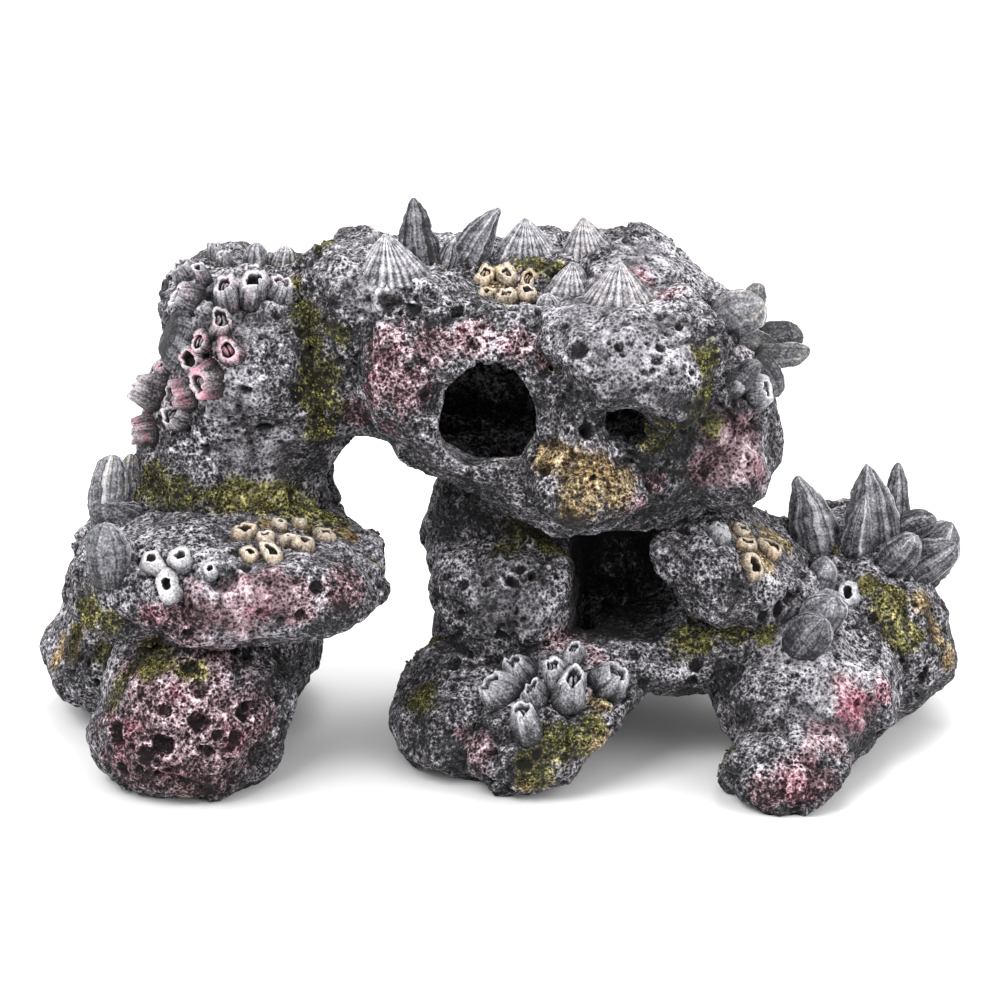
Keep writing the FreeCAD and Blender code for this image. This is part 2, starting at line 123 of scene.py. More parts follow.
PALE_PATCHES = [
    (45, 135, 21), (-49, 154, 8), (-41, 150, 9), (-92, 147, 17), (46, 164, 12), (3, 48, 15), (103, 32, 15),
    (-31, 163, 10), (30, 147, 13), (115, 48, 10), (44, 150, 16), (78, 101, 16), (-90, 120, 14),
    (88, 95, 10), (-80, 98, 14), (-12, 98, 8), (110, 5, 18), (-85, 44, 18)]
# Brighter spots: mostly the pink paint at its brightest; those on the head's right end are painted light on
# its shaded underside.
BRIGHT_PAINT_AND_LIGHT_PATCHES = [
    (80, 99, 11), (90, 93, 9), (74, 92, 8), (-33, 131, 10), (-8, 138, 7), (6, 135, 6), (-43, 119, 7),
    (-81, 86, 7), (-67, 80, 7), (-74, 84, 6), (-88, 46, 7), (-62, 48, 7), (-100, 152, 9), (-86, 157, 9),
    (-95, 118, 6), (-84, 112, 8), (-60, 158, 5), (47, 80, 5), (-78, 122, 8), (100, -14, 6),
    (-80, 100, 11), (-91, 106, 8), (-70, 107, 7), (-96, 96, 7), (96, 101, 8), (23, 31, 8), (33, 28, 5),
    (-6, -7, 7), (-11, -2, 5)]
# Painted light: the underside of the head's right end, painted as bright as its front.
PAINTED_LIGHT_PATCHES = [(80, 98, 10), (88, 96, 9), (74, 94, 8), (90, 105, 6)]
# Darker spots: partly the paint's own dark blotches, partly painted shade, as under the head's front and in
# hollows.
DARK_PAINT_AND_SHADE_PATCHES = [
    (-76, 26, 12), (-24, 4, 11), (-19, 76, 11), (-7, 87, 11), (86, 12, 9), (14, 80, 9), (45, 72, 9),
    (26, 74, 9), (56, 77, 8), (57, 110, 7), (80, 16, 7), (123, -6, 6), (125, 38, 6), (38, 33, 7),
    (-12, 30, 9), (-22, 18, 12), (35, 70, 12), (27, 133, 5), (66, 118, 8), (62, 104, 7), (36, 105, 5)]
# Round pits, as (across, up, radius, depth).
PITS = [
    (-129, 0, 4.4, 2.8), (-101, 4, 3.9, 3), (-113, -5, 3.7, 2.8), (-119, -8, 3.3, 2.4), (-112, 8, 2.4, 2),
    (-103, 23, 3.3, 2.2), (-100, 16, 3.2, 2.4), (-84, 8, 3.4, 2.6), (-99, -7, 2.6, 2),
    (-88, -2, 2.8, 2.2), (-127, -13, 2.4, 1.8), (10, -12, 3, 2.8), (23, -9, 2.6, 2.6), (3, 55, 3.3, 3),
    (30, 106, 2.8, 3), (-91, 56, 5.5, 3), (-60, 52, 3, 2.4), (-29, 153, 6, 3), (-22, 152, 5, 3),
    (-35, 151, 4, 2.5), (-27, 148, 3, 2), (27, 133, 4, 2), (-11, 53, 2, 2), (12, 56, 1.8, 2),
    (6, 44, 2.2, 2), (-13, 42, 1.8, 2), (-1, 60, 1.6, 1.8), (-20, 117, 6, 3), (-18, 108, 6, 3),
    (44, 150, 1.8, 2), (54, 135, 1.8, 2), (36, 138, 1.6, 1.8), (60, 142, 1.6, 1.8)]
# Low mounds at the feet of shells, and one in the lower mouth, as (across, up, radius, height).
MOUNDS = [
    (-46, 158, 9, 3.5), (-37, 158, 8, 3), (25, 163, 8, 2.5), (35, 163, 8, 3), (44, 163, 8, 3),
    (-5, 155, 7, 2), (6, 155, 7, 2), (58, 61, 9, 4.5)]
GENERIC_PATCH = 26.0  # mm, size of the paint patches on the sides that have none laid out
GENERIC_PALE = 0.6  # how pale those sides are


# ---- random fields

GRID_SHIFT = 100.0  # keeps every cell's number positive


def hashed(ix, iy, iz, seed):
    """A repeatable random number from 0 to 1 for each whole-number cell."""
    mixed = ix.astype(np.uint32) * np.uint32(0x8DA6B343)
    mixed ^= iy.astype(np.uint32) * np.uint32(0xD8163841)
    mixed ^= iz.astype(np.uint32) * np.uint32(0xCB1AB31F)
    mixed ^= np.uint32(seed * 7919 + 13)
    mixed ^= mixed >> np.uint32(15)
    mixed *= np.uint32(0x2C1B3C6D)
    mixed ^= mixed >> np.uint32(12)
    mixed *= np.uint32(0x297A2D39)
    mixed ^= mixed >> np.uint32(15)
    return mixed.astype(np.float32) / np.float32(2 ** 32)


def corner_shares(part):
    """A cell's eight corners, each with its share in points that lie a part of the way through."""
    x, y, z = part.T
    for dx, dy, dz in np.ndindex(2, 2, 2):
        yield (dx, dy, dz), np.abs(1 - dx - x) * np.abs(1 - dy - y) * np.abs(1 - dz - z)


def noise(points, wavelength, seed):
    """Smooth random values from -1 to 1 that change over about one wavelength."""
    scaled = (points / wavelength + GRID_SHIFT).astype(np.float32)
    cell = np.floor(scaled).astype(np.int32)
    part = scaled - cell
    part = part * part * (3 - 2 * part)
    total = np.zeros(len(points), np.float32)
    for corner, share in corner_shares(part):
        total += share * hashed(*(cell + corner).T, seed)
    return 2 * total - 1


def fractal(points, wavelength, seed, octaves=3):
    """Noise at several sizes, each half as large and half as strong as the last."""
    total = np.zeros(len(points), np.float32)
    for i in range(octaves):
        total += noise(points, wavelength / 2 ** i, seed + i) / 2 ** i
    return total / (2 - 2 ** (1 - octaves))


def cells(points, spacing, seed):
    """Distances to the nearest two of many scattered points, and the nearest one's own random number."""
    scaled = (points / spacing + GRID_SHIFT).astype(np.float32)
    cell = np.floor(scaled).astype(np.int32)
    nearest = second = np.full(len(points), 9, np.float32)
    tag = np.zeros(len(points), np.float32)
    for offset in np.ndindex(3, 3, 3):
        at = (cell + offset - 1).T
        gap = sum((at[i] + hashed(*at, seed + i) - scaled[:, i]) ** 2 for i in range(3))
        nearer = gap < nearest
        second = np.where(nearer, nearest, np.minimum(second, gap))
        tag = np.where(nearer, hashed(*at, seed + 3), tag)
        nearest = np.minimum(nearest, gap)
    distances = np.sqrt([nearest, second]) * spacing
    return *distances.astype(np.float32), tag


def step(low, high, value):
    """0 at low, 1 at high and smooth between, whichever of the two is larger."""
    way = np.clip((value - low) / (high - low), 0, 1)
    return way * way * (3 - 2 * way)


def bell(value):
    """1 at zero, falling to nearly 0 at 2 and at -2."""
    return np.exp(-value ** 2)


def pushes(points, wavelength, seed):
    """Smooth random moves, from -1 to 1 along each axis."""
    return np.stack([noise(points, wavelength, seed + i) for i in range(3)], axis=1)


def bend(points, wavelength, amount, seed):
    """Points pushed about at random, so that patterns lose their straightness."""
    return points + amount * pushes(points, wavelength, seed)


# ---- mesh helpers

def rows(items, name, width, kind=np.float32):
    """One property of all of a mesh's points or edges, a row for each."""
    values = np.empty(len(items) * width, kind)
    items.foreach_get(name, values)
    return values.reshape(-1, width)


def positions(mesh):
    """The mesh's points in mm."""
    return rows(mesh.vertices, "co", 3) / MM


def normals(mesh):
    return rows(mesh.vertex_normals, "vector", 3)


def set_positions(mesh, points):
    mesh.vertices.foreach_set("co", (points * MM).astype(np.float32).ravel())
    mesh.update()


def smoothed(points, pairs, rounds):
    """Points moved halfway to the mean of their neighbours, several times."""
    one, other = pairs.T
    count = np.bincount(pairs.ravel(), minlength=len(points)).clip(1)
    for _ in range(rounds):
        for axis in range(3):
            values = points[:, axis]
            total = np.bincount(one, values[other], len(points))
            total += np.bincount(other, values[one], len(points))
            points[:, axis] = 0.5 * values + 0.5 * total / count
    return points


def link(thing):
    bpy.context.scene.collection.objects.link(thing)


def remeshed(mesh, voxel_mm, name):
    """A new mesh of even small faces over the same shape."""
    carrier = bpy.data.objects.new(name, mesh)
    link(carrier)
    voxels = carrier.modifiers.new("voxels", "REMESH")
    voxels.mode = "VOXEL"
    voxels.voxel_size = voxel_mm * MM
    graph = bpy.context.evaluated_depsgraph_get()
    result = bpy.data.meshes.new_from_object(carrier.evaluated_get(graph))
    result.name = name
    bpy.data.objects.remove(carrier)
    return result


def new_mesh(name, points, faces):
    """A mesh of points in mm, none below the floor."""
    points[:, 2] = points[:, 2].clip(0)
    mesh = bpy.data.meshes.new(name)
    mesh.from_pydata((points * MM).tolist(), [], faces)
    return mesh


def add_attribute(mesh, name, values):
    layer = mesh.attributes.new(name, "FLOAT", "POINT")
    layer.data.foreach_set("value", np.asarray(values, np.float32))


def place(mesh, name, material, slot, *nodes):
    """Puts a finished mesh into the scene as a piece that stands for CAD nodes."""
    mesh.name = name
    mesh.polygons.foreach_set("use_smooth", [True] * len(mesh.polygons))
    mesh.materials.clear()
    mesh.materials.append(material)
    piece = bpy.data.objects.new(name, mesh)
    link(piece)
    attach(piece, "root")
    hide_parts(*nodes)


SLOTS = {row["node"]: row["material_slot"] for row in frame["record"]["subparts"]}
# The nodes of each stone: one each, except that the cave head's blocks make one stone.
STONES = {}
for node_name in sorted(frame["nodes"]):
    if node_name.startswith("head_"):
        STONES.setdefault("head_stone", []).append(node_name)
    elif node_name.endswith("_rock"):
        STONES[node_name.replace("_rock", "_stone")] = [node_name]
SHELLS = [name for name in sorted(frame["nodes"]) if not name.endswith("_rock")]


def outline_mesh(nodes, name):
    """The joined castings of some nodes as one mesh with shared corners."""
    shell = bmesh.new()
    for node_name in nodes:
        shell.from_mesh(frame["nodes"][node_name].data)
    bmesh.ops.remove_doubles(shell, verts=shell.verts, dist=1e-6)
    mesh = bpy.data.meshes.new(name)
    shell.to_mesh(mesh)
    shell.free()
    return mesh


def first_skins():
    """Each stone's rounded skin, as its mesh."""
    skins = {}
    for name, nodes in STONES.items():
        skin = remeshed(outline_mesh(nodes, name), COARSE_VOXEL, name)
        pairs = rows(skin.edges, "vertices", 2, np.int32)
        set_positions(skin, smoothed(positions(skin), pairs, ROUNDING))
        skins[name] = skin
    return skins


def search_tree(mesh):
    corners = [vertex.co / MM for vertex in mesh.vertices]
    return BVHTree.FromPolygons(corners, [face.vertices for face in mesh.polygons])


FIRST_SKINS = first_skins()
TREES = [search_tree(mesh) for mesh in FIRST_SKINS.values()]
# The caves and their mouths, each as the lowest and highest corners of its box in mm.
SPACES = {row["name"]: np.array(row["box_m"]) / MM for row in frame["record"]["physics"]["openings"]}
CHAMBERS = [SPACES["upper_cave"], SPACES["lower_cave"]]
OPENINGS = CHAMBERS + [SPACES["upper_mouth"], SPACES["side_mouth"], SPACES["lower_mouth"]]


def on_stone(across, up):
    """Where the line of sight through a layout point meets a stone."""
    target = Vector((LAYOUT_X + across, LAYOUT_Y, up))
    way = (target - VIEWPOINT).normalized()
    hits = [tree.ray_cast(VIEWPOINT, way) for tree in TREES]
    hits = [(hit[3], hit[0]) for hit in hits if hit[0] is not None]
    return np.array(min(hits)[1] if hits else target)


def covers(patches):
    """Patches with their places found on the stones."""
    return [(on_stone(patch[0], patch[1]), *patch[2:]) for patch in patches]


PAINT = {
    "pink": covers(PINK_PATCHES), "moss": covers(MOSS_PATCHES), "gold": covers(GOLD_PATCHES),
    "pale": covers(PALE_PATCHES), "bright": covers(BRIGHT_PAINT_AND_LIGHT_PATCHES), "painted_light": covers(PAINTED_LIGHT_PATCHES),
    "dark": covers(DARK_PAINT_AND_SHADE_PATCHES)}
PIT_PLACES = covers(PITS)
MOUND_PLACES = covers(MOUNDS)


def coat(points, kind, wander):
    """How much of one paint lies at each point, from 0 to 1, with ragged edges."""
    low, high = points.min(0), points.max(0)
    total = np.zeros(len(points), np.float32)
    for centre, radius in PAINT[kind]:
        if (centre < low - 2 * radius).any() or (centre > high + 2 * radius).any():
            continue
        reach = np.linalg.norm(points - centre, axis=1) / radius
        total = np.maximum(total, step(1.35, 0.55, reach + 0.5 * wander))
    return total


def distance_field(mesh):
    """How far points around a mesh are from it, on a grid, as (first grid point, values)."""
    corners = positions(mesh)
    low = np.floor(corners.min(0) - FIELD_REACH)
    counts = np.ceil((corners.max(0) + FIELD_REACH - low) / FIELD_PITCH).astype(int) + 2
    grid = np.indices(counts).reshape(3, -1).T
    tree = search_tree(mesh)
    values = np.full(len(grid), FIELD_REACH, np.float32)
    for i, point in enumerate(low + grid * FIELD_PITCH):
        found = tree.find_nearest(point, FIELD_REACH)
        if found[3] is not None:
            values[i] = found[3]
    return low, values.reshape(counts)


def sampled(field, points):
    """A field's values at points, with its reach everywhere outside its grid."""
    low, values = field
    result = np.full(len(points), FIELD_REACH, np.float32)
    scaled = (points - low) / FIELD_PITCH
    cell = np.floor(scaled).astype(int)
    inside = np.all((cell >= 0) & (cell < np.array(values.shape) - 1), axis=1)
    cell, part = cell[inside], (scaled - cell)[inside]
    total = np.zeros(len(cell))
    for corner, share in corner_shares(part):
        total += share * values[tuple((cell + corner).T)]
    result[inside] = total
    return result


def gaps(name, points):
    """How far each point of a stone is from the nearest other stone."""
    others = [field for other, field in STONE_FIELDS.items() if other != name]
    return np.min([sampled(field, points) for field in others], axis=0)


def near_boxes(points, boxes, reach):
    """1 in any of the boxes, falling to 0 beyond the reach."""
    near = np.zeros(len(points))
    for low, high in boxes:
        beyond = np.maximum(low - points, points - high).clip(0)
        near = np.maximum(near, np.exp(-(np.linalg.norm(beyond, axis=1) / reach) ** 4))
    return near


def held(points):
    """1 at a shell or an opening, where the skin must stay put, and 0 well away from all of them."""
    gap = np.min([sampled(field, points) for field in SHELL_FIELDS], axis=0)
    return np.maximum(bell(gap / SHELL_CLEARANCE), near_boxes(points, OPENINGS, OPENING_CLEARANCE))


def relief(points):
    """Height of the pores above the smooth stone in mm, and the tone that they give the paint."""
    style = noise(points, 21, 15)
    warped = bend(points, 3.1, 0.9, 41)
    near, _, tag = cells(warped, HOLE_SPACING, 50)
    hole = step(1.25, 0.55, near / (0.5 + 0.75 * tag)) * step(0.42, 0.7, tag + 0.3 * style)
    near, _, tag = cells(warped, CRATER_SPACING, 45)
    size = 0.8 + 1.7 * tag
    open_crater = step(0.68, 0.8, tag + 0.3 * style)
    crater = open_crater * step(size + 0.5, size - 0.5, near)
    lip = open_crater * bell((near - size - 0.4) / 0.5)
    grit = fractal(points, 2.2, 60, 2)
    knots = fractal(bend(points, 6, 1.5, 31), 5.5, 64, 2)
    height = GRIT * grit + KNOT * knots - HOLE_DEPTH * hole - CRATER_DEPTH * crater + CRATER_LIP * lip
    tone = PLAIN_TONE + GRIT_TONE * grit + KNOT_TONE * knots
    # The holes and craters are painted darker, partly as painted shade.
    tone = tone + HOLE_TONE * hole + CRATER_TONE * crater + LIP_TONE * lip
    return height, tone


def wandering(points):
    """A sideways push that breaks up every outline."""
    return WANDER * (pushes(points, WANDER_SIZE, 201) + 0.4 * pushes(points, WANDER_SIZE / 2.3, 211))


def lumpy_skin(name):
    """A stone's skin with its lumps, swollen where it meets its neighbours and divided finely."""
    skin = FIRST_SKINS[name]
    points, facing = positions(skin), normals(skin)
    ridges = 0.6 - 2 * np.abs(noise(bend(points, 8, 2, 93), KNOB_SIZE * 1.5, 9))
    knobs = KNOB * (fractal(points, KNOB_SIZE, 5, 2) + ridges)
    lumps = LUMP * fractal(bend(points, 15, 4, 91), LUMP_SIZE, 1, 2) + knobs
    fillet = FILLET * bell(gaps(name, points) / FILLET_REACH)
    clear = 1 - held(points)
    mounds = sum(high * bell(np.linalg.norm(points - at, axis=1) / radius)
                 for at, radius, high in MOUND_PLACES)
    push = facing * ((SWELL + lumps) * clear + fillet + mounds)[:, None]
    set_positions(skin, points + push + wandering(points) * clear[:, None])
    return remeshed(skin, FINE_VOXEL, name)


def sink_pits(points, wander, height, tone):
    """Lowers the round pits in place and paints them dark, partly as painted shade, and gives each a pale
    rim.
    """
    for centre, radius, depth in PIT_PLACES:
        reach = np.linalg.norm(points - centre, axis=1) / radius
        pit = step(1.1, 0.75, reach + 0.07 * wander)
        height -= depth * pit
        tone += (PIT_TONE if radius < WIDE_PIT else WIDE_PIT_TONE) * pit
        tone += PIT_RIM_TONE * bell((reach - 1.15) / 0.15)


def paints(points, facing, up, wander):
    """How much of each paint lies at each point. The sides out of the photograph get patches too."""
    paint = {kind: coat(points, kind, wander) for kind in PAINT}
    away = step(-0.1, 0.5, facing[:, 1])
    wide = fractal(points, GENERIC_PATCH, 21, 2)
    pink = step(0.22, 0.5, wide + 0.3 * wander)
    mossy = step(0.25, 0.6, up * 0.4 - wide + 0.35 * wander - 0.1)
    for kind, amount in (("pink", pink), ("moss", mossy), ("pale", GENERIC_PALE)):
        paint[kind] = np.maximum(paint[kind], away * amount)
    return paint


def stone(name, nodes):
    """One stone with its craters, lace and paint. Returns its points, normals and moss."""
    skin = lumpy_skin(name)
    points, facing = positions(skin), normals(skin)
    up = step(-0.3, 0.9, facing[:, 2])
    wander = fractal(points, 7, 11)
    near, second, _ = cells(bend(points, 9, 3, 95), CREASE_SPACING, 97)
    # Creases between the knobs, cut into the stone and painted dark as shade.
    crease = step(2.6, 0.2, second - near) * step(-0.35, 0.2, noise(points, 30, 99))
    height, tone = relief(points)
    height -= CREASE * crease
    sink_pits(points, wander, height, tone)
    # Painted shade where one stone meets the next, darkest in the joint.
    joint_shade = bell(gaps(name, points) / JOINT_SHADE_REACH)
    # Painted light on the sides facing up and painted shade on those facing down. The two mottles are the
    # paint's own uneven tone.
    tone += PAINTED_TOP_LIGHT * (up - 0.45) + NEAR_MOTTLE * noise(points, 13, 17) + FAR_MOTTLE * noise(points, 33, 19)
    # Painted shade in and around the two caves.
    shade = near_boxes(points, CHAMBERS, CHAMBER_SHADE)
    tone += CREASE_SHADE_TONE * crease + JOINT_SHADE_TONE * joint_shade + CHAMBER_SHADE_TONE * shade
    paint = paints(points, facing, up, wander)
    mossy = paint["moss"]
    height = height * (1 - 0.4 * mossy) + mossy * FLOCK_HEIGHT * (1 + noise(points, 1.7, 71))
    points = points + facing * height[:, None]
    points[:, 2] = points[:, 2].clip(0)
    set_positions(skin, points)
    add_attribute(skin, "tone", tone)
    for kind, amount in paint.items():
        add_attribute(skin, kind, amount)
    slot = SLOTS[nodes[0]]
    place(skin, name, MATERIALS[slot], slot, *nodes)
    return points, facing, mossy


# ---- materials

# How finely each texture repeats, in cells per metre.
FINE_SCALE, MEDIUM_SCALE, PATCHY_SCALE, STRONG_SCALE = 1500.0, 420.0, 110.0, 60.0
LACE_SCALE = 720.0
SHELL_FINE_SCALE, SHELL_WIDE_SCALE = 1400.0, 240.0


def new_material(name):
    material = bpy.data.materials.new(name)
    material.use_nodes = True
    tree = material.node_tree
    return material, tree, tree.nodes["Principled BSDF"]


def feed(tree, made, inputs):
    """Sets a node's inputs: pairs of a socket's name or number and a value or another node's output."""
    for socket, value in inputs:
        if isinstance(value, bpy.types.NodeSocket):
            tree.links.new(value, made.inputs[socket])
        else:
            made.inputs[socket].default_value = value


def node(tree, kind, inputs=(), **settings):
    """A new shader node with its settings and inputs."""
    made = tree.nodes.new(kind)
    for key, value in settings.items():
        setattr(made, key, value)
    feed(tree, made, inputs)
    return made


def maths(tree, operation, a, b, clamp=False):
    return node(tree, "ShaderNodeMath", [(0, a), (1, b)], operation=operation, use_clamp=clamp).outputs[0]


def times(tree, a, b, clamp=False):
    return maths(tree, "MULTIPLY", a, b, clamp)


def about_zero(tree, value, strength, middle=0.5):
    """A texture's value spread about zero and scaled."""
    return times(tree, maths(tree, "SUBTRACT", value, middle), strength)


def summed(tree, first, *others):
    for other in others:
        first = maths(tree, "ADD", first, other)
    return maths(tree, "ADD", first, 0.0, clamp=True)


def ramp(tree, factor, colours, stops):
    """A colour that runs through several, which lie at the stops."""
    made = node(tree, "ShaderNodeValToRGB", [("Fac", factor)])
    elements = made.color_ramp.elements
    while len(elements) < len(stops):
        elements.new(0.5)
    for element, at, colour in zip(elements, stops, colours):
        element.position = at
        element.color = (*colour, 1)
    return made.outputs["Color"]


def blended(tree, factor, a, b, mode="MIX"):
    """Colour a with colour b over it. Sockets 6 and 7 and output 2 are a Mix node's colours."""
    inputs = [(0, factor), (6, a), (7, b)]
    return node(tree, "ShaderNodeMix", inputs, data_type="RGBA", blend_type=mode).outputs[2]


def attribute(tree, name):
    return node(tree, "ShaderNodeAttribute", attribute_name=name).outputs["Fac"]


def texture(tree, kind, scale, detail=None, output="Fac", where=None):
    """A texture over the object's own coordinates, or over pushed ones. scale is in cells per metre."""
    if where is None:
        where = node(tree, "ShaderNodeTexCoord").outputs["Object"]
    inputs = [("Vector", where), ("Scale", scale)]
    if detail is not None:
        inputs.append(("Detail", detail))
    return node(tree, kind, inputs).outputs[output]


def grain(tree, scale, detail):
    return texture(tree, "ShaderNodeTexNoise", scale, detail)


def pushed(tree, scale, amount):
    """The object's own coordinates pushed about by noise, so that cells over them lose their roundness."""
    push = texture(tree, "ShaderNodeTexNoise", scale, 2.0, "Color")
    where = node(tree, "ShaderNodeTexCoord").outputs["Object"]
    return node(tree, "ShaderNodeVectorMath", [(0, push), (1, (amount,) * 3), (2, where)],
                operation="MULTIPLY_ADD").outputs[0]


def finish(tree, shader, colour, height, roughness, specular, bump_depth):
    """Gives a shader its colour, gloss and bump. The bump's depth is in metres."""
    bump = node(tree, "ShaderNodeBump", [("Height", height), ("Strength", 0.8), ("Distance", bump_depth)])
    feed(tree, shader, [("Base Color", colour), ("Roughness", roughness), ("Specular IOR Level", specular),
                        ("Normal", bump.outputs["Normal"])])


# Colours from pores to worn threads, for each paint and for its strongest spots, and their tones.
STOPS = (0.0, 0.3, 0.5, 0.7, 0.88, 1.0)
GREYS = [(0.006, 0.0055, 0.0065), (0.03, 0.0286, 0.0315), (0.1005, 0.0953, 0.1064),
         (0.262, 0.248, 0.274), (0.475, 0.453, 0.492), (0.66, 0.635, 0.68)]
PINKS = [(0.007, 0.0031, 0.0039), (0.04, 0.02, 0.024), (0.15, 0.094, 0.107),
         (0.3, 0.207, 0.229), (0.59, 0.455, 0.497), (0.79, 0.67, 0.73)]
REDS = [(0.01, 0.001, 0.003), (0.06, 0.01, 0.018), (0.19, 0.05, 0.075),
        (0.4, 0.165, 0.21), (0.66, 0.4, 0.46), (0.82, 0.64, 0.7)]
MOSSES = [(0.005, 0.005, 0.003), (0.024, 0.022, 0.009), (0.066, 0.061, 0.022),
          (0.175, 0.16, 0.052), (0.39, 0.355, 0.125), (0.63, 0.57, 0.29)]
GOLDS = [(0.012, 0.008, 0.004), (0.055, 0.036, 0.018), (0.162, 0.116, 0.058),
         (0.32, 0.25, 0.14), (0.58, 0.465, 0.285), (0.83, 0.73, 0.54)]
ORANGES = [(0.014, 0.007, 0.002), (0.075, 0.042, 0.014), (0.21, 0.128, 0.045),
           (0.42, 0.27, 0.11), (0.68, 0.49, 0.25), (0.86, 0.72, 0.48)]
PAINT_COLOURS = [("gold", GOLDS, ORANGES), ("pink", PINKS, REDS), ("moss", MOSSES, MOSSES)]


def lace(tree, patchy):
    """The pores of the lace and the threads between them, as two values."""
    where = pushed(tree, 1000.0, 0.0008)
    spacing = texture(tree, "ShaderNodeTexVoronoi", LACE_SCALE, output="Distance", where=where)
    pore = times(tree, maths(tree, "SUBTRACT", 0.44, spacing), 4.5, clamp=True)
    crowd = maths(tree, "ADD", attribute(tree, "pink"), about_zero(tree, patchy, 5.0, 0.38), clamp=True)
    return times(tree, pore, crowd), about_zero(tree, spacing, 0.45)


def painted(tree, colour, tone, medium):
    """A colour with the gold, pink and moss paints over it, each strongest in spots."""
    strong = grain(tree, STRONG_SCALE, 2.0)
    very = about_zero(tree, strong, 5.0, 0.52)
    for paint, colours, strong_colours in PAINT_COLOURS:
        cover = maths(tree, "ADD", attribute(tree, paint), about_zero(tree, medium, 2.4))
        cover = times(tree, cover, attribute(tree, paint), clamp=True)
        share = times(tree, very, attribute(tree, paint), clamp=True)
        plain, vivid = ramp(tree, tone, colours, STOPS), ramp(tree, tone, strong_colours, STOPS)
        colour = blended(tree, cover, colour, blended(tree, share, plain, vivid))
    return colour


def stone_material(slot, lift):
    """Dry-brushed porous resin: pale threads round dark pores. lift brightens or darkens the whole stone."""
    material, tree, shader = new_material(slot)
    fine = grain(tree, FINE_SCALE, 2.0)
    medium = grain(tree, MEDIUM_SCALE, 4.0)
    patchy = grain(tree, PATCHY_SCALE, 3.0)
    pore, thread = lace(tree, patchy)
    detail = maths(tree, "ADD", about_zero(tree, fine, 1.4), about_zero(tree, medium, 0.8))
    detail = maths(tree, "ADD", detail, maths(tree, "ADD", thread, times(tree, pore, -0.42)))
    strength = maths(tree, "SUBTRACT", 1.08, times(tree, attribute(tree, "pale"), 0.48))
    # Patches of brighter and darker paint, with painted light and painted shade among them.
    patches = [times(tree, attribute(tree, kind), added) for kind, added in PATCH_TONES.items()]
    tone = summed(
        tree, attribute(tree, "tone"), times(tree, detail, strength), about_zero(tree, patchy, 0.7),
        *patches, lift)
    colour = painted(tree, ramp(tree, tone, GREYS, STOPS), tone, medium)
    height = summed(tree, about_zero(tree, medium, 1.2), thread, times(tree, pore, -0.5), 0.5)
    finish(tree, shader, colour, height, 0.86, 0.3, 0.0012)
    return material


def shell_material(slot, dark, middle, light, stain, roughness):
    """Painted shell: dark in its grooves and light on its ribs, with stains where the tint is."""
    material, tree, shader = new_material(slot)
    fine = grain(tree, SHELL_FINE_SCALE, 4.0)
    wide = grain(tree, SHELL_WIDE_SCALE, 3.0)
    tone = summed(tree, attribute(tree, "tone"), about_zero(tree, fine, 1.0), about_zero(tree, wide, 0.6))
    deep = tuple(part * 0.15 for part in dark)
    colour = ramp(tree, tone, (deep, dark, middle, light), (0.0, 0.3, 0.6, 1.0))
    cover = maths(tree, "ADD", about_zero(tree, wide, 4.0, 0.47), 0.25)
    cover = times(tree, attribute(tree, "tint"), cover, clamp=True)
    colour = blended(tree, cover, colour, blended(tree, 1.0, colour, (*stain, 1), "MULTIPLY"))
    finish(tree, shader, colour, fine, roughness, 0.35, 0.0005)
    return material


def moss_material():
    """Flock moss: each crumb has a tint of its own."""
    material, tree, shader = new_material("moss_flock")
    fine = grain(tree, FINE_SCALE, 2.0)
    tone = summed(tree, attribute(tree, "tint"), about_zero(tree, fine, 0.8))
    colour = ramp(tree, tone, MOSSES, STOPS)
    feed(tree, shader, [("Base Color", colour), ("Roughness", 0.95), ("Specular IOR Level", 0.1)])
    return material


# Each shell's paint in its grooves, on its sides and on its ribs, its stain and its roughness.
SHELL_PAINTS = {
    "limpet_shell": (
        (0.05, 0.05, 0.057), (0.28, 0.275, 0.3), (0.77, 0.76, 0.795), (0.95, 0.86, 0.82), 0.7),
    "mussel_shell": (
        (0.028, 0.028, 0.033), (0.18, 0.18, 0.203), (0.62, 0.62, 0.665), (0.9, 0.8, 0.6), 0.6),
    "grey_barnacle": (
        (0.042, 0.042, 0.048), (0.26, 0.258, 0.28), (0.74, 0.735, 0.77), (0.95, 0.62, 0.68), 0.75),
    "pink_barnacle": (
        (0.042, 0.038, 0.041), (0.27, 0.253, 0.27), (0.7, 0.68, 0.71), (1.0, 0.5, 0.58), 0.75),
    "white_barnacle": (
        (0.05, 0.05, 0.055), (0.27, 0.266, 0.285), (0.74, 0.735, 0.765), (0.95, 0.84, 0.8), 0.7),
    "cream_barnacle": (
        (0.06, 0.047, 0.038), (0.35, 0.29, 0.225), (0.78, 0.715, 0.63), (0.95, 0.7, 0.38), 0.7)}
# How much lighter or darker than the photograph's middle grey each kind of stone is.
STONE_LIFTS = {
    "grey_lace_stone": 0.03, "pink_lace_stone": 0.01, "dark_lace_stone": -0.03, "ochre_lace_stone": 0.02}
MATERIALS = {slot: stone_material(slot, lift) for slot, lift in STONE_LIFTS.items()}
MATERIALS |= {slot: shell_material(slot, *paint) for slot, paint in SHELL_PAINTS.items()}


# ---- shells

BARNACLE_WELL = 0.3  # radius of a barnacle casting's well, as a share of its foot's
LIMPET_CAP = 0.06  # radius of a limpet casting's flat top, as a share of its foot's
OCTAGON = 2.828  # a regular octagon's area over its radius squared
RIBBED_RING = 3.106  # and a 24-sided one's
FLAT = 0.05  # mm, how far out of plane two faces of one flat may be
LARGE_LIMPET = 7  # mm, radius above which a limpet gets more ribs and finer faces
AROUND = 72  # points around a barnacle, a mussel or a small limpet
SEEDS = 900  # the seeds that a shell's roughness is picked from

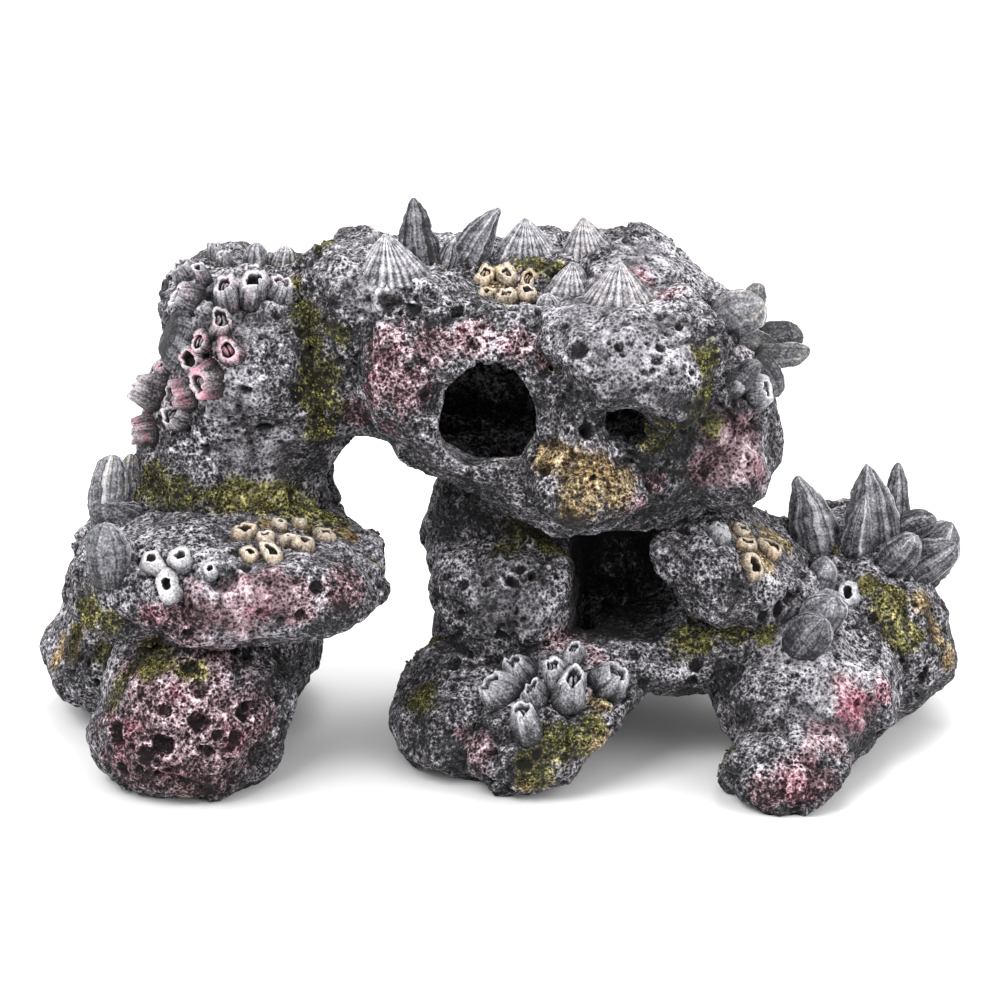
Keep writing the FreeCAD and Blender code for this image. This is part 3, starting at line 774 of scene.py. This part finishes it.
# Width along a mussel from its root to its tip, as shares.
BLADE = ([0, 0.15, 0.35, 0.6, 0.8, 0.93, 1.0], [0.98, 1.0, 0.96, 0.76, 0.5, 0.28, 0.08])
CLAM = ([0, 0.15, 0.35, 0.55, 0.75, 0.9, 0.97, 1.0], [0.8, 0.92, 1.0, 1.0, 0.88, 0.62, 0.38, 0.12])
DOME = ([0, 0.2, 0.45, 0.7, 0.88, 0.97, 1.0], [0.75, 0.93, 1.0, 0.93, 0.68, 0.38, 0.12])
# Each paired shell's outline, and how ridged, thick, broader than its casting and stained it is.
MUSSEL_FORMS = {
    "top_left_mussels": (BLADE, 1.0, 0.62, 1.0, 0.1),
    "rear_tall_mussels": (BLADE, 0.8, 0.7, 1.05, 0.15),
    "rear_low_mussels": (CLAM, 0.7, 0.62, 1.15, 0.1),
    "temple_mussels": (CLAM, 0.4, 0.6, 1.2, 0.55),
    "left_mussels": (CLAM, 0.9, 0.5, 1.0, 0.4),
    "left_round_shells": (DOME, 0.5, 0.6, 1.0, 0.1),
    "shoulder_long_shell": (CLAM, 0.8, 0.66, 1.0, 0.1),
    "leg_round_shells": (DOME, 0.5, 0.8, 1.0, 0.1)}
# Up a barnacle's outer wall and over its rim, as shares of its radius and its height.
CONE_WALL = [
    (1.0, 0.0), (0.97, 0.2), (0.93, 0.4), (0.87, 0.6), (0.81, 0.78), (0.76, 0.9), (0.7, 0.98), (0.62, 1.0)]
ROUND_WALL = [
    (0.86, 0.0), (0.93, 0.2), (0.95, 0.4), (0.93, 0.6), (0.88, 0.78), (0.8, 0.91), (0.7, 0.98), (0.6, 1.0)]
EGG_WALL = [
    (0.95, 0.0), (1.0, 0.18), (1.0, 0.36), (0.95, 0.54), (0.86, 0.7), (0.77, 0.84), (0.68, 0.94), (0.58, 1.0)]
LOW_RING = 0.75  # height of a round-walled barnacle, as a share of its casting's
# Each kind of barnacle: its wall, its mouth's radius, and how ribbed, how often empty and how stained.
RIBBED = (CONE_WALL, 0.46, 1.0, 0.15, 0.5)
BARNACLE_FORMS = {
    "shelf_white_barnacles": (ROUND_WALL, 0.38, 0.35, 1.0, 0.3),
    "shelf_cream_barnacles": (ROUND_WALL, 0.46, 0.3, 1.0, 0.3),
    "ledge_gold_barnacles": (ROUND_WALL, 0.52, 0.4, 1.0, 0.7),
    "ledge_white_barnacle": (ROUND_WALL, 0.36, 0.3, 1.0, 0),
    "leg_barnacle": (ROUND_WALL, 0.42, 0.4, 1.0, 0.0),
    "ridge_cream_barnacles": (ROUND_WALL, 0.42, 0.8, 0.3, 0.7),
    "shoulder_low_barnacles": (CONE_WALL, 0.46, 1.0, 0.2, 0.8),
    "brow_barnacle": (CONE_WALL, 0.44, 1.0, 0.0, 0.2),
    "temple_barnacles": (EGG_WALL, 0.34, 0.9, 0.0, 0.1),
    "base_barnacles": (EGG_WALL, 0.44, 0.9, 0.0, 0.0)}


def castings(name):
    """The separate castings in a node, each as its triangles' corners in mm.
    One casting's triangles follow each other, so it ends where no edge is left open."""
    mesh = frame["nodes"][name].data
    keys = [tuple(np.round(np.array(vertex.co) / MM, 4)) for vertex in mesh.vertices]
    open_edges, triangles, found = set(), [], []
    for face in mesh.polygons:
        corners = [keys[i] for i in face.vertices]
        triangles.append(corners)
        for edge in zip(corners, corners[1:] + corners[:1]):
            open_edges ^= {tuple(sorted(edge))}
        if not open_edges:
            found.append(np.array(triangles))
            triangles = []
    return found


def flats(triangles):
    """A casting's flat faces, each as (normal, area, centre, a point on it), largest first."""
    found = []
    for a, b, c in triangles:
        cross = np.cross(b - a, c - a)
        area = np.linalg.norm(cross) / 2
        if area < 1e-5:
            continue
        normal = cross / (2 * area)
        for flat in found:
            if normal @ flat[0] > 0.9995 and abs((a - flat[3]) @ flat[0]) < FLAT:
                flat[2] = (flat[2] * flat[1] + (a + b + c) / 3 * area) / (flat[1] + area)
                flat[1] += area
                break
        else:
            found.append([normal, area, (a + b + c) / 3, a])
    return sorted(found, key=lambda flat: -flat[1])


def foot_frame(triangles, share, shape):
    """Foot centre, axis, radius and height of a barnacle or limpet, read from its casting.
    Its foot is the largest face with the whole casting on one side. The centre and radius come from a
    smaller face above the foot, which is a given share of the foot's radius and of a given shape."""
    points = triangles.reshape(-1, 3)
    found = flats(triangles)
    base = next(flat for flat in found if ((points - flat[3]) @ flat[0]).max() < FLAT)
    axis, on_foot = -base[0], base[3]
    height = ((points - on_foot) @ axis).max()
    level = [flat for flat in found if flat[0] @ axis > 0.999]
    inner = min(level, key=lambda flat: (flat[3] - on_foot) @ axis)
    foot = inner[2] - axis * ((inner[2] - on_foot) @ axis)
    return foot, axis, math.sqrt(inner[1] / shape) / share, height


def long_frame(triangles):
    """Root, axis, side, front, length and width of a mussel, read from its casting's spread."""
    points = np.unique(triangles.reshape(-1, 3), axis=0)
    centre = points.mean(0)
    ends = [flat for flat in flats(triangles) if ((points - flat[3]) @ flat[0]).max() < FLAT]
    tips = [one for one in ends for other in ends if one[0] @ other[0] < -0.999]
    if tips:
        axis = min(tips, key=lambda tip: tip[1])[0]
    else:
        axis = np.linalg.svd(points - centre, full_matrices=False)[2][0]
        axis = axis if axis[2] > 0 else -axis
    spread = points - centre
    spread = spread - np.outer(spread @ axis, axis)
    side = np.linalg.svd(spread, full_matrices=False)[2][0]
    side = side if side[0] > 0 else -side
    along, across = (points - centre) @ axis, (points - centre) @ side
    root = centre + axis * along.min() + side * (across.max() + across.min()) / 2
    front = np.cross(side, axis)
    return root, axis, side, front, along.max() - along.min(), across.max() - across.min()


def ring_faces(rings, around, start):
    """Quads between rings of points, and fans onto the two end points that follow them."""
    faces = []
    end = start + rings * around
    for j in range(around):
        k = (j + 1) % around
        for low in range(start, end - around, around):
            faces.append((low + j, low + k, low + around + k, low + around + j))
        faces += [(start + k, start + j, end), (end - around + j, end - around + k, end + 1)]
    return faces


class Cluster:
    """Collects the shells of one node into one mesh."""

    def __init__(self):
        self.points, self.faces, self.tone, self.tint = [], [], [], []

    def add(self, rings, tone, tint):
        """Adds one closed shell, given as rings of points with the tone and the stain of each."""
        ring_count, around = rings.shape[:2]
        self.faces += ring_faces(ring_count, around, sum(map(len, self.points)))
        self.points.append(np.concatenate([rings.reshape(-1, 3), [rings[0].mean(0), rings[-1].mean(0)]]))
        for values, kept in ((tone, self.tone), (tint, self.tint)):
            values = np.broadcast_to(values, (ring_count, around))
            kept.append(np.concatenate([values.ravel(), [values[0].mean(), values[-1].mean()]]))

    def finish(self, name):
        mesh = new_mesh(name, np.concatenate(self.points), self.faces)
        shell = bmesh.new()
        shell.from_mesh(mesh)
        bmesh.ops.recalc_face_normals(shell, faces=shell.faces)
        shell.to_mesh(mesh)
        shell.free()
        add_attribute(mesh, "tone", np.concatenate(self.tone))
        add_attribute(mesh, "tint", np.concatenate(self.tint))
        place(mesh, name + "_shells", MATERIALS[SLOTS[name]], SLOTS[name], name)


def square_to(axis):
    """Two directions square to an axis and to each other."""
    side = np.cross(axis, (0, 0, 1) if abs(axis[2]) < 0.9 else (0, 1, 0))
    side /= np.linalg.norm(side)
    return side, np.cross(axis, side)


def roughened(points, amount, rng):
    """Points moved a little at random, so that no shell is perfectly regular."""
    seed = int(rng.integers(SEEDS))
    flat = points.reshape(-1, 3)
    moved = bend(bend(flat, 5.0, amount * 2.0, seed), 1.6, amount, seed + 5)
    return moved.reshape(points.shape)


def ribs_around(angle, count, rng):
    """From 0 in the grooves to 1 on the ribs around a shell, with uneven ribs."""
    warped = angle + 0.5 / count * 2 * math.pi * np.sin(2 * angle + rng.uniform(0, 6)) * 0.8
    turn = (warped / (2 * math.pi) * count) % count
    strength = rng.uniform(0.45, 1.0, count)
    return np.abs(np.sin(math.pi * turn)) ** 0.6 * strength[np.floor(turn).astype(int) % count]


def round_angles(count):
    return np.linspace(0, 2 * math.pi, count, endpoint=False)[None, :]


def placed(points, *ways):
    """A point moved along some directions, with a whole grid of distances for each."""
    for direction, far in ways:
        points = points + direction * far[..., None]
    return points


def limpet(cluster, triangles, rng):
    """A low cone with uneven ribs, growth rings and a scalloped margin."""
    foot, axis, radius, height = foot_frame(triangles, LIMPET_CAP, RIBBED_RING)
    side, front = square_to(axis)
    large = radius > LARGE_LIMPET
    around, rings = (160, 30) if large else (AROUND, 16)
    angle = round_angles(around)
    share = np.linspace(1, 0.02, rings)[:, None]
    ribs = ribs_around(angle, int(rng.integers(22, 28)) if large else 13, rng)
    between = ribs_around(angle, 55 if large else 26, rng)
    growth = np.sin(2 * math.pi * (5.3 * share ** 0.8 + 0.12 * np.sin(2 * angle) + 0.08 * np.sin(5 * angle)))
    out = radius * share * (0.9 + (0.3 + 0.7 * share) * (0.13 * ribs + 0.03 * between))
    out = out * (1 + 0.05 * np.sin(3 * angle + rng.uniform(0, 6)) * share)
    bulge, blunt = (1.25, 0.92) if large else (2.4, 0.7)
    up = height * (1 - share ** bulge) ** blunt * (0.96 + 0.06 * ribs)
    up = up + 0.012 * height * growth * share + 0.03 * height * np.sin(4 * angle + rng.uniform(0, 6)) * share
    lean = rng.uniform(-0.12, 0.12, 2) * radius
    points = placed(foot, (axis, up), (side, out * np.cos(angle) + lean[0] * (1 - share)),
                    (front, out * np.sin(angle) + lean[1] * (1 - share)))
    tone = 0.17 + 0.75 * ribs * (0.6 + 0.4 * between) + 0.08 * growth
    tone = tone + 0.16 * (1 - share) - 0.12 * share ** 6
    cluster.add(roughened(points, 0.12, rng), tone, rng.uniform(0, 1))


def barnacle_levels(wall, mouth):
    """Levels up the wall, over the rim and down the well, as (radius, height, tone, how much plate shows)."""
    # The tone rises up the wall to a pale rim and falls to black down the well: painted shade low on the wall
    # and in the well.
    levels = [(out, up, 0.16 + 0.62 * up, 1 - 0.5 * up ** 6) for out, up in wall]
    levels += [((wall[-1][0] + mouth) / 2, 0.99, 1.0, 0.3), (mouth + 0.04, 0.96, 0.95, 0.1)]
    levels += [(mouth, 0.88, 0.45, 0), (mouth - 0.02, 0.78, 0.15, 0)]
    levels += [(mouth - 0.04, 0.68, 0.05, 0), (mouth - 0.06, 0.58, 0.0, 0)]
    return levels


def barnacle(cluster, triangles, form, rng):
    """Six wall plates around a ragged mouth, with shut plates or an empty well inside."""
    wall, mouth, ribbed, often_empty, stained = form
    foot, axis, radius, height = foot_frame(triangles, BARNACLE_WELL, OCTAGON)
    height *= LOW_RING if wall is ROUND_WALL else 1.0
    side, front = square_to(axis)
    angle = round_angles(AROUND)
    even = np.ones_like(angle)
    turned = angle + rng.uniform(0, 6)
    plates = np.abs(np.cos(3 * turned)) ** 0.4
    grooves = 1 - np.abs(np.sin(11 * turned + 0.6 * np.sin(4 * turned))) ** 0.8
    mouth = mouth * rng.uniform(0.9, 1.15)
    slit = rng.uniform(-0.6, 0.6) + math.pi / 2
    oval = 1 + 0.22 * np.cos(2 * (angle - slit)) + 0.05 * np.cos(3 * turned)
    ragged = 1 + 0.05 * np.sin(5 * turned) + 0.12 * ribbed * (plates - 0.6)
    empty = rng.uniform() < often_empty
    levels = barnacle_levels(wall, mouth)
    shares, ups, tone = [], [], []
    for out, up, shade, plate in levels:
        shares.append(out * oval * (1 - plate * ribbed * (0.12 * (1 - plates) + 0.05 * grooves)))
        ups.append(up * (ragged if up > 0.8 else even))
        tone.append(shade * (1 - plate * ribbed * (0.55 * (1 - plates) + 0.35 * grooves)))
    # An empty well is painted black, and the slit between shut plates dark: painted shade.
    for share in (0.85, 0.68, 0.5, 0.32, 0.15):
        off_slit = np.abs(np.sin(angle - slit)) * share
        lid = 0.34 * (1 - share ** 2) - 0.22 * step(0.16, 0.0, off_slit) + 0.03
        shares.append(levels[-1][0] * share * oval)
        ups.append((0.3 if empty else 0.58 + lid) * even)
        tone.append((0.0 if empty else 0.62 * step(0.05, 0.22, off_slit) + 0.02) * even)
    shares, ups, tone = (np.concatenate(rows) for rows in (shares, ups, tone))
    points = placed(foot, (axis, height * ups), (side, radius * shares * np.cos(angle)),
                    (front, radius * shares * np.sin(angle)))
    cluster.add(roughened(points, 0.45, rng), tone, stained * rng.uniform(0.1, 1.5))


def mussel(cluster, triangles, form, rng):
    """Two bowed valves that meet at a pale margin, with growth lines and a stained tip."""
    (at, widths), ridged, thick, broad, stained = form
    root, axis, side, front, length, width = long_frame(triangles)
    width *= broad
    angle = round_angles(AROUND)
    along = np.linspace(0, 1, 60)[:, None]
    wide = np.interp(along, at, widths)
    cosine, sine = np.cos(angle), np.sin(angle)
    arc = along + 0.1 * cosine ** 2 * (1 - along) + 0.04 * np.sin(3 * angle + 1)
    growth = sum(np.sin(2 * math.pi * lines * arc + rng.uniform(0, 6)) for lines in (3.1, 5.7, 9.3)) / 3
    keel = bell((angle - rng.uniform(4.2, 5.1)) / 0.28) + bell((angle - rng.uniform(1.3, 1.8)) / 0.3)
    streaks = sum(np.sin(lines * angle + rng.uniform(0, 6) + 1.5 * along) for lines in (9, 14, 23, 37)) / 4
    seam = bell(sine / 0.07)
    margin = bell((np.abs(sine) - 0.22) / 0.14)
    cut = 1 - 0.1 * seam * (0.3 + along) + ridged * (0.03 * growth + 0.03 * streaks)
    sideways = width / 2 * wide * cosine * cut
    bowed = np.sign(sine) * np.abs(sine) ** 1.25
    forwards = width / 2 * thick * wide * bowed * cut * (1 + 0.22 * ridged * keel)
    bow = 0.06 * length * np.sin(math.pi * along) * rng.uniform(-0.4, 1)
    twist = rng.uniform(-0.3, 0.3) * width * along ** 2
    points = placed(root, (axis, length * along), (side, sideways + twist), (front, forwards - bow))
    tone = 0.4 + rng.uniform(-0.12, 0.12) + 0.08 * growth + 0.42 * streaks * ridged + 0.25 * keel * ridged
    # Painted shade along the seam between the valves.
    tone = tone + 0.45 * margin * (0.4 + 0.6 * along) * (0.65 + 0.35 * cosine) - 0.5 * seam
    tone = tone + 0.12 * along ** 4 - 0.25 * (1 - along) ** 4
    tint = stained * (0.6 + rng.uniform(0, 0.8) + step(0.6, 0.95, along) * rng.uniform(0, 0.8))
    cluster.add(roughened(points, 0.28, rng), tone, tint)


def shells():
    """Every node's shells, each node with random numbers of its own."""
    for number, name in enumerate(SHELLS):
        rng = np.random.default_rng(500 + number)
        cluster = Cluster()
        for triangles in castings(name):
            if name in MUSSEL_FORMS:
                mussel(cluster, triangles, MUSSEL_FORMS[name], rng)
            elif SLOTS[name] == "limpet_shell":
                limpet(cluster, triangles, rng)
            else:
                barnacle(cluster, triangles, BARNACLE_FORMS.get(name, RIBBED), rng)
        cluster.finish(name)


# ---- moss

CRUMB_SPACING = 0.95  # mm, about how far apart the crumbs of thick moss stand
CRUMB_SIZE = (0.2, 0.5)  # mm, smallest and largest radius


def crumb_shape():
    """A small lump with twelve corners and twenty faces."""
    lump = bmesh.new()
    bmesh.ops.create_icosphere(lump, subdivisions=1, radius=1.0)
    points = np.array([vertex.co for vertex in lump.verts])
    faces = np.array([[vertex.index for vertex in face.verts] for face in lump.faces])
    lump.free()
    return points, faces


def moss(skins):
    """Crumbs of flock over the moss-coated stretches of all the stones."""
    rng = np.random.default_rng(7)
    shape, shape_faces = crumb_shape()
    share = (FINE_VOXEL / CRUMB_SPACING) ** 2
    points, tints = [], []
    for surface, facing, amount in skins:
        clump = step(0.0, 0.6, noise(surface, 4.5, 81) + 0.5 * noise(surface, 1.9, 82))
        chosen = np.nonzero(rng.random(len(surface)) < share * step(0.25, 0.8, amount) * clump)[0]
        count = len(chosen)
        size = rng.uniform(*CRUMB_SIZE, count)
        centres = surface[chosen] + facing[chosen] * (rng.uniform(-0.2, 1.0, count) * size)[:, None]
        lumps = shape[None] * rng.uniform(0.6, 1.3, (count, len(shape), 1)) * size[:, None, None]
        points.append((lumps + centres[:, None]).reshape(-1, 3))
        tone = 0.48 + 0.25 * noise(surface[chosen], 7, 83) + rng.uniform(-0.25, 0.2, count)
        tints.append(np.repeat(tone, len(shape)))
    points = np.concatenate(points)
    starts = np.arange(0, len(points), len(shape))
    faces = (shape_faces[None] + starts[:, None, None]).reshape(-1, 3)
    mesh = new_mesh("moss_flock", points, faces.tolist())
    add_attribute(mesh, "tint", np.concatenate(tints))
    place(mesh, "moss_flock", moss_material(), "dark_lace_stone")


# ---- stage

# Each soft light's name, place in metres, size in metres and power in watts.
LIGHTS = [
    ("key", (-0.55, -0.75, 1.05), 0.7, 12), ("fill", (0.85, -0.8, 0.6), 0.9, 7),
    ("top", (0.1, 0.35, 1.3), 0.8, 10)]
LIGHT_TARGET = Vector((0, 0, 0.08))  # metres
FLOOR_SIZE = 16  # metres


def stage_floor():
    bpy.ops.mesh.primitive_plane_add(size=FLOOR_SIZE)
    floor = bpy.context.object
    floor.name = "floor"
    material, tree, shader = new_material("floor")
    feed(tree, shader, [("Base Color", (0.92, 0.92, 0.92, 1)), ("Roughness", 0.9)])
    floor.data.materials.append(material)


def stage_lights():
    """A white sky and three soft lamps."""
    world = bpy.data.worlds.new("studio")
    world.use_nodes = True
    sky = world.node_tree.nodes["Background"]
    feed(world.node_tree, sky, [("Color", (1, 1, 1, 1)), ("Strength", 1.0)])
    bpy.context.scene.world = world
    bpy.context.scene.view_settings.view_transform = "Standard"
    for name, at, size, power in LIGHTS:
        light = bpy.data.lights.new(name, "AREA")
        light.size = size
        light.energy = power
        lamp = bpy.data.objects.new(name, light)
        lamp.location = at
        lamp.rotation_euler = (LIGHT_TARGET - Vector(at)).to_track_quat("-Z", "Y").to_euler()
        link(lamp)


def stage_camera():
    lens = bpy.data.cameras.new("camera")
    lens.lens = CAMERA_LENS
    lens.sensor_width = CAMERA_SENSOR
    stand = bpy.data.objects.new("camera", lens)
    stand.location = VIEWPOINT * MM
    stand.rotation_euler = (math.pi / 2 - CAMERA_TILT, 0, 0)
    link(stand)
    bpy.context.scene.camera = stand


STONE_FIELDS = {name: distance_field(mesh) for name, mesh in FIRST_SKINS.items()}
SHELL_FIELDS = [distance_field(frame["nodes"][name].data) for name in SHELLS]
stage_floor()
stage_lights()
stage_camera()
SKINS = [stone(name, nodes) for name, nodes in STONES.items()]
shells()
moss(SKINS)
